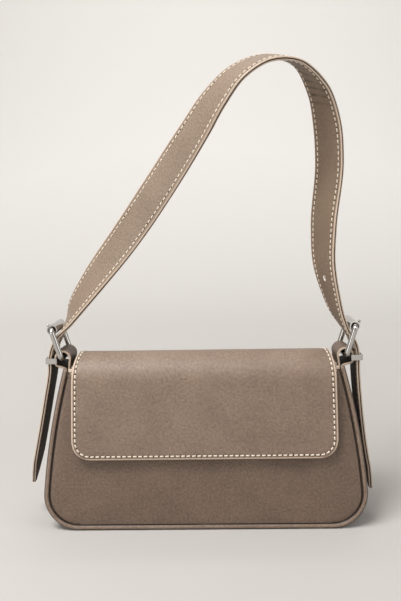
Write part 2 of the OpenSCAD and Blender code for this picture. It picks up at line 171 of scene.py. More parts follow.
def photo_camera():
    data = bpy.data.cameras.new("camera")
    data.lens = LENS
    data.sensor_width = SENSOR
    data.clip_start = 0.01
    camera = in_scene("camera", data)
    yaw, pitch, roll = (math.radians(a) for a in CAMERA_TURN)
    forward = Vector((math.sin(yaw) * math.cos(pitch), math.cos(yaw) * math.cos(pitch),
                      -math.sin(pitch)))
    right = Vector((math.cos(yaw), -math.sin(yaw), 0))
    up = right.cross(forward)
    across = math.cos(roll) * right + math.sin(roll) * up
    upward = math.cos(roll) * up - math.sin(roll) * right
    matrix = Matrix((across, upward, -forward)).transposed().to_4x4()
    matrix.translation = CAMERA_AT
    camera.matrix_world = matrix
    scene.camera = camera


photo_camera()


# Materials

class Nodes:
    """A material or world under construction: short calls that add and join shader nodes."""

    def __init__(self, name, owner=None):
        self.material = owner or bpy.data.materials.new(name)
        self.material.use_nodes = True
        self.tree = self.material.node_tree
        self.shader = self.tree.nodes.get("Principled BSDF") or self.tree.nodes["Background"]

    def add(self, kind, settings=None, **inputs):
        node = self.tree.nodes.new(kind)
        for key, value in (settings or {}).items():
            setattr(node, key, value)
        for key, value in inputs.items():
            self.put(node.inputs[key.replace("_", " ")], value)
        return node

    def put(self, socket, value):
        if isinstance(value, bpy.types.NodeSocket):
            self.tree.links.new(value, socket)
        else:
            socket.default_value = value

    def set(self, **inputs):
        for key, value in inputs.items():
            self.put(self.shader.inputs[key.replace("_", " ")], value)

    def math(self, operation, a, b):
        node = self.tree.nodes.new("ShaderNodeMath")
        node.operation = operation
        self.put(node.inputs[0], a)
        self.put(node.inputs[1], b)
        return node.outputs[0]

    def span(self, value, low, high, to_low, to_high):
        node = self.tree.nodes.new("ShaderNodeMapRange")
        for i, v in enumerate((value, low, high, to_low, to_high)):
            self.put(node.inputs[i], v)
        return node.outputs[0]

    def shade(self, factor, a, b):
        node = self.tree.nodes.new("ShaderNodeMix")
        node.data_type = "RGBA"
        self.put(node.inputs[0], factor)
        self.put(node.inputs[6], a)
        self.put(node.inputs[7], b)
        return node.outputs[2]

    def weigh(self, *parts):
        """Sum of (value, weight) pairs."""
        total = None
        for value, weight in parts:
            part = self.math("MULTIPLY", value, weight)
            total = part if total is None else self.math("ADD", total, part)
        return total

    def in_mm(self, place, turn=0.0):
        node = self.add("ShaderNodeMapping", Vector=place)
        node.inputs["Rotation"].default_value = (0, 0, turn)
        node.inputs["Scale"].default_value = (1 / MM,) * 3
        return node.outputs[0]

    def sewn_place(self, turn=0.0):
        """Place on a sewn piece: its UVs hold metres across and along it."""
        return self.in_mm(self.add("ShaderNodeUVMap", {"uv_map": "UVMap"}).outputs[0], turn)

    def solid_place(self):
        return self.in_mm(self.add("ShaderNodeTexCoord").outputs["Object"])

    def noise(self, place, scale, detail=2.0, roughness=0.5):
        return self.add("ShaderNodeTexNoise", Vector=place, Scale=scale, Detail=detail,
                        Roughness=roughness).outputs["Fac"]

    def waves(self, place, pitch_mm, distortion=0.0, detail_scale=1.0):
        return self.add(
            "ShaderNodeTexWave", Vector=place, Scale=0.314 / pitch_mm, Distortion=distortion,
            Detail=1.0, Detail_Scale=detail_scale).outputs["Fac"]

    def bump(self, height, distance):
        return self.add("ShaderNodeBump", Height=height, Distance=distance,
                        Strength=1.0).outputs[0]

    def creases(self, low, high):
        """Mask of short soft folds across a strap between two lengths in millimetres."""
        along = self.add("ShaderNodeSeparateXYZ", Vector=self.sewn_place()).outputs[1]
        lines = self.waves(self.sewn_place(math.radians(76)), 6.5, 2.5, 1.2)
        where = self.math("MULTIPLY", self.span(along, low, low + 8, 0.0, 1.0),
                          self.span(along, high - 10, high, 1.0, 0.0))
        patches = self.span(self.noise(self.sewn_place(), 0.09), 0.4, 0.6, 0.2, 1.0)
        return self.math("MULTIPLY", self.math("POWER", lines, 3.0),
                         self.math("MULTIPLY", where, patches))


def srgb(r, g, b):
    def linear(c):
        c /= 255
        return c / 12.92 if c <= 0.04045 else ((c + 0.055) / 1.055) ** 2.4
    return (linear(r), linear(g), linear(b), 1)


def toned(colour, k):
    return tuple(k * c for c in colour[:3]) + (1,)


def leather(name, colour, dark, rough=0.5, folds=None):
    """Small uneven pebbles crossed by fine pressed lines, with soft cloudy colour.
    folds is the stretch, in millimetres along the piece, that short soft creases cross; the crease
    lines are darkened with painted shade besides being pressed in."""
    n = Nodes(name)
    cells = n.add("ShaderNodeTexVoronoi", Vector=n.sewn_place(), Scale=1.0).outputs["Distance"]
    one = n.waves(n.sewn_place(math.radians(38)), 1.25, 4.0, 1.2)
    two = n.waves(n.sewn_place(math.radians(-52)), 1.45, 4.5, 1.0)
    lines = n.math("MULTIPLY", n.math("SUBTRACT", 1.0, n.math("MULTIPLY", one, 0.75)),
                   n.math("SUBTRACT", 1.0, n.math("MULTIPLY", two, 0.6)))
    pores = n.noise(n.sewn_place(), 0.95, 4.0, 0.65)
    mottle = n.noise(n.sewn_place(), 0.6, 2.0, 0.5)
    clouds = n.noise(n.sewn_place(), 0.03, 3.0, 0.55)
    dips = n.weigh((lines, 0.7), (cells, 0.5))
    tone = n.weigh((dips, 0.35), (pores, 0.5), (clouds, 0.25), (mottle, 0.58))
    base = n.shade(n.span(tone, 0.52, 1.02, 0.0, 1.0), colour, dark)
    height = n.weigh((pores, 0.5), (dips, -1.0))
    if folds:
        crease = n.creases(*folds)
        # Painted shade: the crease lines pull the colour towards half the dark tone
        base = n.shade(crease, base, toned(dark, 0.5))
        height = n.weigh((height, 1.0), (crease, -6.0))
    n.set(
        Base_Color=base,
        Roughness=n.span(pores, 0.3, 0.7, rough - 0.08, rough + 0.1),
        Normal=n.bump(height, GRAIN_DEPTH),
        Specular_IOR_Level=0.4,
    )
    return n.material


def flecked(name, colour, k, scale, rough, depth, detail=(3.0, 0.5), solid=False, metallic=0.0):
    """One colour that drifts to k times itself; rough is a roughness or its two ends."""
    n = Nodes(name)
    fleck = n.noise(n.solid_place() if solid else n.sewn_place(), scale, *detail)
    if isinstance(rough, tuple):
        rough = n.span(fleck, 0.3, 0.7, *rough)
    n.set(Base_Color=n.shade(fleck, colour, toned(colour, k)), Roughness=rough,
          Metallic=metallic, Normal=n.bump(fleck, depth))
    return n.material


def thread(name, colour):
    """Twisted waxed thread; U runs along a stitch and V round it."""
    n = Nodes(name)
    ply = n.waves(n.sewn_place(math.radians(35)), 0.55)
    n.set(Base_Color=n.shade(ply, toned(colour, 0.72), colour),
          Roughness=0.6, Normal=n.bump(ply, 0.1 * MM))
    return n.material


def cloth(name, colour, dark, pitch_mm=0.9):
    """Plain weave."""
    n = Nodes(name)
    warp = n.waves(n.sewn_place(), pitch_mm, 0.6)
    weft = n.waves(n.sewn_place(math.radians(90)), pitch_mm, 0.6)
    weave = n.math("MULTIPLY", warp, weft)
    slub = n.noise(n.sewn_place(), 0.12, 3.0)
    n.set(Base_Color=n.shade(n.weigh((weave, 0.5), (slub, 0.5)), dark, colour),
          Roughness=0.85, Normal=n.bump(weave, 0.15 * MM))
    return n.material


FACE = leather("leather", srgb(156, 136, 119), srgb(98, 81, 68))
BODY = leather("body_leather", srgb(133, 113, 97), srgb(82, 66, 55))
# Dark copy of the leather for the piping's flanks: painted shade
PIPING_SIDE_SHADE = leather("piping_side_shade_leather", srgb(92, 75, 62), srgb(62, 49, 40))
# Darkest copy of the leather, put in the creases along the seams and under the piping: painted
# shade
SEAM_SHADE = leather("seam_shade_leather", srgb(58, 45, 36), srgb(36, 27, 21))
STRAP = leather("strap_leather", srgb(151, 133, 117), srgb(110, 93, 78), 0.46)
INNER = leather("inner_leather", srgb(142, 121, 102), srgb(102, 85, 69), 0.6)
# Strap lining leather whose crease lines carry painted shade
CREASED = leather("strap_inner_leather", srgb(142, 121, 102), srgb(102, 85, 69), 0.6,
                  folds=CREASED_MM)
# Dark copy of the inner leather for the hanging ends' inner faces and inside the hanger loops:
# painted shade
SHADED_INNER = leather("inner_leather_painted_shade", srgb(74, 58, 46), srgb(44, 34, 27), 0.7)
CORE = flecked("strap_core", srgb(30, 22, 17), 1.3, 0.8, 0.9, 0.05 * MM)
# Dark colour of the needle holes: painted shade
NEEDLE_HOLE_SHADE = flecked("needle_hole_shade", srgb(44, 33, 26), 1.3, 0.8, 0.9, 0.05 * MM)
EDGE = flecked("edge_paint", srgb(200, 179, 159), 0.7, 0.9, (0.36, 0.5), 0.12 * MM)
THREAD = thread("thread", srgb(240, 226, 206))
# Dim thread for the inner stitches of the hanging ends: painted shade
SHADED_THREAD = thread("tail_thread_painted_shade", srgb(112, 94, 78))
LINING = cloth("lining_cloth", srgb(168, 150, 128), srgb(128, 112, 94))
CORD = cloth("cord_cloth", srgb(200, 190, 174), srgb(150, 140, 126), 0.5)
CHROME = flecked("chrome", (0.5, 0.485, 0.46, 1), 0.8, 0.12, (0.06, 0.11), 0.002 * MM,
                 solid=True, metallic=1.0)
# Near-white ring at the spare hole, far paler than the edge paint: a painted highlight
HOLE_HIGHLIGHT = flecked("hole_rim_highlight", srgb(246, 240, 230), 1.3, 0.8, 0.5, 0.05 * MM)
STEEL = flecked("plain_steel", (0.52, 0.52, 0.53, 1), 0.8, 0.12, (0.28, 0.4), 0.02 * MM,
                solid=True, metallic=1.0)
BOARD = flecked("board", srgb(88, 78, 68), 1.5, 0.8, 0.9, 0.1 * MM, (5.0, 0.7), solid=True)


# Mesh making

class Shape:
    """A mesh under construction: vertices, and faces with their UV corners and materials."""

    def __init__(self):
        self.points, self.faces, self.uvs, self.slots = [], [], [], []

    def add(self, points):
        first = len(self.points)
        self.points.extend(points)
        return list(range(first, len(self.points)))

    def face(self, corners, uvs, slot=0):
        """Adds one face; slot is its material number."""
        self.faces.append(corners)
        self.uvs.extend(uvs)
        self.slots.append(slot)

    def skin(self, rings, uvs, slot=0):
        """Quads from each closed ring to the next; a ring has one uv more than it has corners.
        slot is a material number, or a function that gives it round the ring."""
        for a, b, uv_a, uv_b in zip(rings, rings[1:], uvs, uvs[1:]):
            for i in range(len(a)):
                j = (i + 1) % len(a)
                self.face([a[i], a[j], b[j], b[i]], [uv_a[i], uv_a[i + 1], uv_b[i + 1], uv_b[i]],
                          slot(i) if callable(slot) else slot)

    def make(self, name, materials):
        mesh = bpy.data.meshes.new(name)
        mesh.from_pydata([tuple(p) for p in self.points], [], self.faces)
        uv = mesh.uv_layers.new(name="UVMap")
        uv.data.foreach_set("uv", np.array(self.uvs, np.float32).ravel())
        mesh.polygons.foreach_set("material_index", self.slots)
        mesh.shade_smooth()
        for m in materials:
            mesh.materials.append(m)
        bm = bmesh.new()
        bm.from_mesh(mesh)
        bmesh.ops.recalc_face_normals(bm, faces=bm.faces)
        bm.to_mesh(mesh)
        bm.free()
        return in_scene(name, mesh)


# Order of a slab's materials; a paint function may name the face, the rim or the fourth, a darker
# copy that paints shade
ON_FACE, ON_RIM, UNDER, PAINTED_SHADE = range(4)


def slab(name, grid, out, thick, uv, materials, bulge=0.4 * MM, paint=None):
    """Closed sheet of even thickness under a grid of points, with a rounded rim.
    paint(row, column) picks the material of each outer face."""
    rows, cols = len(grid), len(grid[0])
    s = Shape()
    top = s.add(p for row in grid for p in row)
    low = s.add(p - n * thick for ps, ns in zip(grid, out) for p, n in zip(ps, ns))
    for r in range(rows - 1):
        for c in range(cols - 1):
            quad = [(r, c), (r, c + 1), (r + 1, c + 1), (r + 1, c)]
            corners = [uv[i][j] for i, j in quad]
            s.face([top[i * cols + j] for i, j in quad], corners,
                   paint(r, c) if paint else ON_FACE)
            s.face([low[i * cols + j] for i, j in quad[::-1]], corners[::-1], UNDER)
    loop = ([(0, c) for c in range(cols)] + [(r, cols - 1) for r in range(1, rows)]
            + [(rows - 1, c) for c in range(cols - 2, -1, -1)]
            + [(r, 0) for r in range(rows - 2, 0, -1)])
    along = [0.0]
    for (i, j), (k, m) in zip(loop, loop[1:] + loop[:1]):
        along.append(along[-1] + (grid[k][m] - grid[i][j]).length)
    rings, depths = [[top[i * cols + j] for i, j in loop]], (0, 0.18, 0.5, 0.82, 1)
    for k in depths[1:-1]:
        ring = []
        for i, j in loop:
            inside = grid[min(max(i, 1), rows - 2)][min(max(j, 1), cols - 2)]
            n = out[i][j]
            side = grid[i][j] - inside
            side = (side - n * side.dot(n)).normalized()
            ring.append(grid[i][j] - n * thick * k + side * bulge * math.sin(math.pi * k))
        rings.append(s.add(ring))
    rings.append([low[i * cols + j] for i, j in loop])
    s.skin(rings, [[(x, k * thick) for x in along] for k in depths], ON_RIM)
    return s.make(name, materials)


def tube(name, path, sides, section, materials, paint=0):
    """Closed tube round a path of (point, outward, sideways); section(k, angle) is its radius."""
    s = Shape()
    rings, along = [], [0.0]
    for k, (p, a, b) in enumerate(path):
        if k:
            along.append(along[-1] + (p - path[k - 1][0]).length)
        angles = [2 * math.pi * i / sides for i in range(sides)]
        rings.append(s.add(p + (a * math.cos(t) + b * math.sin(t)) * section(along[k], t)
                           for t in angles))
    girth = 2 * math.pi * section(0, 0)
    s.skin(rings, [[(x, girth * i / sides) for i in range(sides + 1)] for x in along], paint)
    for ring, end in ((rings[0][::-1], 0), (rings[-1], -1)):
        s.face(ring, [(along[end] + 0.3 * MM * math.cos(i), 0.3 * MM * math.sin(i))
                      for i in range(sides)])
    return s.make(name, materials)


def lengths_along(points):
    """Walked length at each point of a path."""
    return np.concatenate([[0], np.cumsum(np.linalg.norm(np.diff(points, axis=0), axis=1))])


def sewing(name, runs, thread_r=THREAD_R, skin=None):
    """Stitches with needle holes between them, along runs of (point, outward normal); each hole is
    a shallow pit coloured dark as painted shade.
    """
    s = Shape()
    sides = 6
    angles = [2 * math.pi * i / sides for i in range(sides)]
    profile = ((-1, 0.35, -0.6), (-0.8, 0.85, 0), (-0.3, 1, 0.4), (0.3, 1, 0.4),
               (0.8, 0.85, 0), (1, 0.35, -0.6))
    for run in runs:
        points = np.array([p for p, _ in run])
        normals = np.array([n for _, n in run])
        walked = lengths_along(points)

        def at(x, values):
            return Vector([np.interp(x, walked, values[:, k]) for k in range(3)])

        count = max(1, round(walked[-1] / PITCH))
        step = walked[-1] / count
        for i in range(count):
            mid = (i + 0.5) * step
            n = at(mid, normals).normalized()
            t = (at(mid + STITCH / 2, points) - at(mid - STITCH / 2, points)).normalized()
            t = (t + 0.07 * n.cross(t)).normalized()
            w = n.cross(t)
            centre = at(mid, points)
            rings = [s.add(centre + t * (u * STITCH / 2) + n * (lift * thread_r)
                           + (w * math.cos(a) + n * math.sin(a)) * (size * thread_r)
                           for a in angles) for u, size, lift in profile]
            turn = [thread_r * a for a in (*angles, 2 * math.pi)]
            s.skin(rings, [[((u + 1) * STITCH / 2, v) for v in turn] for u, _, _ in profile])
            for ring in (rings[0][::-1], rings[-1]):
                s.face(ring, [(0, v) for v in turn[:sides]])
            n = at(mid + step / 2, normals).normalized()
            centre = at(mid + step / 2, points)
            ring = s.add(centre + (w * math.cos(a) * 1.1 + t * math.sin(a)) * HOLE_R
                         for a in angles)
            for tip in (centre + n * 0.07 * MM, centre - n * 0.3 * MM):
                peak = s.add([tip])[0]
                for a, b in zip(ring, ring[1:] + ring[:1]):
                    s.face([a, b, peak], [(0, 0), (MM, 0), (0, MM)], 1)
    return s.make(name, [skin or THREAD, NEEDLE_HOLE_SHADE])


def smooth(x):
    """Eases from 0 to 1 while x goes from 0 to 1."""
    x = min(max(x, 0.0), 1.0)
    return x * x * (3 - 2 * x)


def lumps(*place, size=0.04, height=0.3 * MM):
    """Slow uneven swelling of soft leather, the same on every run."""
    return height * noise.noise(Vector(place) / size)


def settle(obj):
    """Puts the result of obj's modifiers into its mesh."""
    bpy.context.view_layer.update()
    obj.data = bpy.data.meshes.new_from_object(
        obj.evaluated_get(bpy.context.evaluated_depsgraph_get()))
    obj.modifiers.clear()


def carve(obj, cutter):
    """Cuts a closed mesh out of obj, and takes the cutter away."""
    modifier = obj.modifiers.new("hole", "BOOLEAN")
    modifier.object = cutter
    modifier.operation = "DIFFERENCE"
    modifier.solver = "EXACT"
    settle(obj)
    bpy.data.objects.remove(cutter)


def plug(rings):
    """Closed block between two rings, for cutting with."""
    s = Shape()
    near, far = (s.add(ring) for ring in rings)
    flat = [(0, 0)] * (len(near) + 1)
    s.skin((near, far), (flat, flat))
    s.face(near[::-1], flat[1:])
    s.face(far, flat[1:])
    return s.make("cutter", [EDGE])


def finished(obj, body, nodes=()):
    """Says which body obj rides on and which CAD nodes it stands for."""
    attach(obj, body)
    for node in nodes:
        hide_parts(node)


# Bag body

def on_plane(v, w):
    """A panel's point as distance from the middle plane and height."""
    return (SEAM_HALF_D - v * math.sin(LEAN) + w * math.cos(LEAN),
            PIPING_R + v * math.cos(LEAN) + w * math.sin(LEAN))


def place(x, v, w, face):
    """A point on the front (-1) or back (1) panel in the frame."""
    y, z = on_plane(v, w)
    return Vector((x, face * y, z))


def facing(face):
    """Outward direction of the front (-1) or back (1) panel."""
    return Vector((0, face * math.cos(LEAN), math.sin(LEAN)))


def half_width(v, inset=0.0):
    """Half width of the seam outline at height v."""
    if v < CORNER_C[1] + (CORNER_R - inset) * math.sin(SIDE_LEAN):
        return CORNER_C[0] + math.sqrt(max((CORNER_R - inset) ** 2 - (v - CORNER_C[1]) ** 2, 0))
    return SIDE_C[0] + math.sqrt((SIDE_R - inset) ** 2 - (v - SIDE_C[1]) ** 2)


def seam_path(grow, base=26, corner=12, side=22):
    """Points (x, v, outward x, outward v) from the left hem round the base to the right hem."""
    def arc(centre, radius, low, high, steps):
        angles = [low + (high - low) * i / steps for i in range(steps + 1)]
        return [(centre[0] + (radius + grow) * math.cos(a),
                 centre[1] + (radius + grow) * math.sin(a), math.cos(a), math.sin(a))
                for a in angles]

    top = math.asin((PANEL_V - SIDE_C[1]) / (SIDE_R + grow))
    right = arc(CORNER_C, CORNER_R, -math.pi / 2, SIDE_LEAN, corner)
    right += arc(SIDE_C, SIDE_R, SIDE_LEAN, top, side)
    bottom = [(CORNER_C[0] * (2 * i / base - 1), CORNER_C[1] - CORNER_R - grow, 0, -1)
              for i in range(1, base)]
    left = [(-x, v, -a, b) for x, v, a, b in reversed(right)]
    return left + bottom + right


def seam_distance(x, v):
    """How far a panel's point is from the seam."""
    x = abs(x)
    if x > CORNER_C[0] and v < CORNER_C[1]:
        return CORNER_R - math.hypot(x - CORNER_C[0], v - CORNER_C[1])
    return min(v, half_width(v) - x)


EDGE_STEPS = [0, 0.5, 1.1, 1.8, 2.5, 3.1, 3.7, 4.5, 6, 9, 14]


def across(half, count=20):
    """Positions from -half to half, close together near both edges."""
    edge = [d * MM for d in EDGE_STEPS if d * MM < half - 12 * MM]
    inner = half - edge[-1] - 6 * MM
    middle = [inner * (2 * i / count - 1) for i in range(count + 1)]
    return [-half + d for d in edge] + middle + [half - d for d in reversed(edge)]


def banded(half, middle):
    """Positions across a strip: close together near both edges, and the middle ones given."""
    edge = [half - d * MM for d in EDGE_STEPS[:9]]
    return [-e for e in edge] + [m * MM for m in middle] + edge[::-1]


def panel_height(x, v, snap):
    """Outward height of a panel's face: it dives into the seam and crowns in its middle."""
    e = max(seam_distance(x, v), 0)
    w = PANEL_W - SEAM_DIVE * math.exp(-e / (2 * MM))
    crown = CROWN * (1 - (1 - min(e / CROWN_RUN, 1)) ** 2)
    crown *= 1 - 0.6 * smooth(v / PANEL_V - 0.4)
    if snap:
        crown *= 1 - math.exp(-(x * x + (v - SNAP_V) ** 2) / SNAP_FLAT_R ** 2)
    hem = HEM_STEP * smooth((v - PANEL_V + HEM_W) / (1.2 * MM))
    return w + crown + hem + lumps(x, v, 3, size=0.05, height=0.25 * MM) * min(e / (20 * MM), 1)


def panel(name, face):
    low = [CORNER_C[1] - CORNER_R * math.cos(math.pi / 2 * i / 12) for i in range(12)]
    low += [PIPING_R + d * MM for d in (0.5, 1.1)]
    heights = sorted(low) + [CORNER_C[1] + (PANEL_V - 9 * MM - CORNER_C[1]) * i / 22
                             for i in range(23)]
    heights += [PANEL_V - d * MM for d in (8, 7.4, 6.8, 6.2, 5.6, 4, 2, 0.8, 0)]
    grid, out, uv = [], [], []
    for v in heights:
        xs = across(half_width(v))
        grid.append([place(x, v, panel_height(x, v, face < 0), face) for x in xs])
        out.append([facing(face)] * len(xs))
        uv.append([(x, v) for x in xs])
    rows, cols = len(grid), len(grid[0])

    def paint(r, c):
        if r >= rows - 3:
            return ON_RIM
        # The faces along the seam take the painted shade of the crease by the piping
        return PAINTED_SHADE if r < 2 or c < 2 or c >= cols - 3 else ON_FACE

    node = "front_panel" if face < 0 else "back_panel"
    obj = slab(name, grid, out, SKIN, uv, [BODY, EDGE, INNER, SEAM_SHADE], paint=paint)
    finished(obj, "bag", [node])
    hem_v = PANEL_V - HEM_SEAM_IN
    side = half_width(hem_v) - 2.2 * MM
    rows = [[(place(x, hem_v, panel_height(x, hem_v, False), face), facing(face))
             for x in np.linspace(-side, side, 60)]]
    finished(sewing(name + "_hem_stitches", rows), "bag")


def gusset():
    path = seam_path(0)
    ts = [-1, -0.97, -0.92, -0.85, -0.75, -0.62, -0.5, -0.35, -0.18, 0]
    ts += [-t for t in reversed(ts[:-1])]
    grid, out, uv, walked = [], [], [], 0
    for k, (x, v, nx, nv) in enumerate(path):
        if k:
            walked += math.hypot(x - path[k - 1][0], v - path[k - 1][1])
        half = on_plane(v, -SEAM_GAP / 2)[0]
        down = smooth(-nv * 1.6)
        row = []
        for t in ts:
            high = smooth((v - 75 * MM) / (25 * MM))
            hollow = GUSSET_HOLLOW * (1 - t * t) * (1 - high)
            pinch = smooth((abs(t) - 0.56) / 0.2) * smooth((1 - abs(t)) / 0.2)
            hollow += GUSSET_PINCH * high * pinch
            hollow *= smooth((v - 12 * MM) / (30 * MM))
            sag = (PIPING_R - 0.02 * MM) * smooth((1 - abs(t)) / 0.2)
            dive = -0.6 * MM * smooth(abs(t) * 20 - 19)
            off = down * sag - (1 - down) * hollow + dive * (1 - down)
            off += (1 - down) * lumps(x, t * half, v, height=0.3 * MM) * (1 - t * t) * (1 - high)
            height = PIPING_R + (v + nv * off) * math.cos(LEAN)
            row.append(Vector((x + nx * off, t * half, height)))
        grid.append(row)
        out.append([Vector((nx, 0, nv)).normalized()] * len(ts))
        uv.append([(t * half, walked) for t in ts])
    # The gusset's outer columns by the piping take the painted shade of the crease
    obj = slab("gusset_leather", grid, out, SKIN, uv, [BODY, EDGE, INNER, SEAM_SHADE],
               paint=lambda r, c: ON_FACE if 0 < c < len(ts) - 2 else PAINTED_SHADE)
    finished(obj, "bag", ["gusset"])
    runs = [[(p + n * 0.02 * MM, n) for p, n in zip(grid[k][3:-3], out[k])] for k in (1, -2)]
    finished(sewing("gusset_hem_stitches", runs), "bag")


def piping(name, node, face):
    side = facing(face)
    path = []
    for x, v, nx, nv in seam_path(PIPING_R, 40, 20, 40):
        out = Vector((nx, -face * nv * math.sin(LEAN), nv * math.cos(LEAN)))
        path.append((place(x, v, 0, face), out, side))

    def section(s, angle):
        return PIPING_R * (0.985 + 0.012 * math.sin(s * 130) * math.sin(angle * 2 + s * 60))

    # Light and shade painted round the piping: the face leather on the ridge is a painted
    # highlight, the body leather on its shoulder a middle tone, and the darker leathers on the
    # flanks and underside painted shade
    lit_and_shaded_bands = [PIPING_SIDE_SHADE] * 4 + [FACE] * 4 + [BODY] + [SEAM_SHADE] * 12 + [PIPING_SIDE_SHADE] * 3
    skins = [FACE, BODY, PIPING_SIDE_SHADE, SEAM_SHADE]
    obj = tube(name, path, len(lit_and_shaded_bands), section, skins, lambda i: skins.index(lit_and_shaded_bands[i]))
    finished(obj, "bag", [node])

    def strands(s, angle):
        return CORD_R * (1 + 0.1 * abs(math.sin(1.5 * angle + s * 700)))

    cord = tube(name + "_filler", path, 12, strands, [CORD])
    finished(cord, "bag", [node + "_cord"])


def lining():
    """Cloth shell inside the bag: walls from a rounded loop at each height, and a base."""
    s = Shape()
    heights = [0.0, 0.6, 2, 4, 8, 14, 24, 40, 60, 80, 100, 115, 124]
    low_v = 4.6 * MM
    loops = []
    around, girth, squareness = 72, 0.6, 0.22
    for k, h in enumerate(heights):
        v = low_v + h * MM
        shrink = 3 * MM * (1 - smooth((k + 1) / 4))
        hx = half_width(v, 2.6 * MM) - shrink
        hy = on_plane(v, -1.0 * MM)[0] - shrink
        loop = []
        for i in range(around):
            a = 2 * math.pi * i / around
            c, d = math.cos(a), math.sin(a)
            wave = lumps(c * 3, d * 3, v * 30, size=0.8, height=0.5 * MM) * smooth(h / 30)
            loop.append(Vector((
                math.copysign(abs(c) ** squareness, c) * (hx - abs(wave)),
                math.copysign(abs(d) ** squareness, d) * (hy - abs(wave)),
                PIPING_R + v * math.cos(LEAN))))
        loops.append(s.add(loop))
    s.skin(loops, [[(girth * i / around, h * MM) for i in range(around + 1)] for h in heights])
    centre = s.add([Vector((0, 0, PIPING_R + low_v * math.cos(LEAN)))])[0]
    for i in range(around):
        j = (i + 1) % around
        tri = [loops[0][i], loops[0][j], centre]
        s.face(tri, [tuple(s.points[c][:2]) for c in tri])
    obj = s.make("lining_cloth_shell", [LINING])
    solid = obj.modifiers.new("thickness", "SOLIDIFY")
    solid.thickness = 0.6 * MM
    solid.offset = 0
    settle(obj)
    finished(obj, "bag", ["lining"])


def inner_pocket():
    half, low, high = 64 * MM, 49 * MM, 122 * MM
    vs = [low + (high - low) * i / 24 for i in range(25)]
    xs = [half * (2 * i / 36 - 1) for i in range(37)]

    def depth(x, v):
        rise = smooth((v - low) / (28 * MM))
        return 1.9 * MM + 4.4 * MM * rise * (1 - (abs(x) / half) ** 5) + lumps(x, v, 9) * rise

    grid = [[place(x, v, -depth(x, v), 1) for x in xs] for v in vs]
    out = [[-facing(1)] * len(xs) for _ in vs]
    uv = [[(x, v) for x in xs] for v in vs]
    obj = slab("pocket_cloth", grid, out, 0.6 * MM, uv, [LINING] * 3, 0.1 * MM)
    finished(obj, "bag", ["inner_pocket"])
    hem = [(place(x, high - 4 * MM, -depth(x, high - 4 * MM), 1), -facing(1)) for x in xs[1:-1]]
    down = [low + 3 * MM + (high - low - 8 * MM) * i / 20 for i in range(21)]
    sides = [[(place(g * (half - 2.5 * MM), v, -depth(half - 2.5 * MM, v), 1), -facing(1))
              for v in down] for g in (-1, 1)]
    finished(sewing("pocket_stitches", [hem, *sides], 0.3 * MM), "bag")


# Flap

def bend_centre(plane_w, bend_r):
    w = plane_w - bend_r
    return on_plane((CREST_Z - bend_r - PIPING_R - w * math.sin(LEAN)) / math.cos(LEAN), w)


def crest_drop(y):
    """The flap's soft crest sinks from its front bend towards the back."""
    return CREST_SINK * smooth((y - SINK_FROM) / SINK_RUN)


def flap_profile(plane_w, end_v, face):
    """Stations (point without x, normal, walked length, rest) from the crest to the end."""
    bend_r = FRONT_BEND_R if face < 0 else CREST_R
    cy, cz = bend_centre(plane_w, bend_r)
    line = [(cy * i / 5, CREST_Z) for i in range(5)]
    for i in range(15):
        a = math.pi / 2 + (LEAN - math.pi / 2) * i / 14
        line.append((cy + bend_r * math.cos(a), cz + bend_r * math.sin(a)))
    start_v = (cz - PIPING_R - (plane_w - bend_r) * math.sin(LEAN)) / math.cos(LEAN)
    edge = [end_v + d * MM for d in EDGE_STEPS]
    down = [start_v + (edge[-1] - start_v) * i / 14 for i in range(1, 14)]
    line += [on_plane(v, plane_w) for v in down + edge[::-1]]
    points = [Vector((0, face * y, z - crest_drop(face * y))) for y, z in line]
    rows, walked = [], 0
    for k, p in enumerate(points):
        if k:
            walked += (p - points[k - 1]).length
        run = points[min(k + 1, len(points) - 1)] - points[max(k - 1, 0)]
        n = Vector((0, -face * run.z, face * run.y)).normalized()
        if k == 0:
            n = Vector((0, 0.28, 1)).normalized()
        rows.append((p, n, walked))
    total = rows[-1][2]
    return [(p, n, s, total - s) for p, n, s in rows]


def flap_half(to_end, p, front):
    """Half width of the flap: rounded lower corners, and narrower over the crest."""
    radius = FLAP_CORNER_R if front else REAR_CORNER_R
    if front:
        half = FLAP_HALF_W - 1.2 * MM * smooth(to_end / (90 * MM))
        half += (CREST_HALF_W - half) * smooth((p.y + 34 * MM) / (30 * MM))
    else:
        half = CREST_HALF_W
    if to_end < radius:
        half -= radius - math.sqrt(radius ** 2 - (radius - to_end) ** 2)
    return half


def flap_edge(x, to_end, half_here, radius, half_full):
    """Distance of a flap's point from its edge."""
    cx, cy = half_full - radius, radius
    if abs(x) > cx and to_end < cy:
        return radius - math.hypot(abs(x) - cx, to_end - cy)
    return min(half_here - abs(x), to_end)


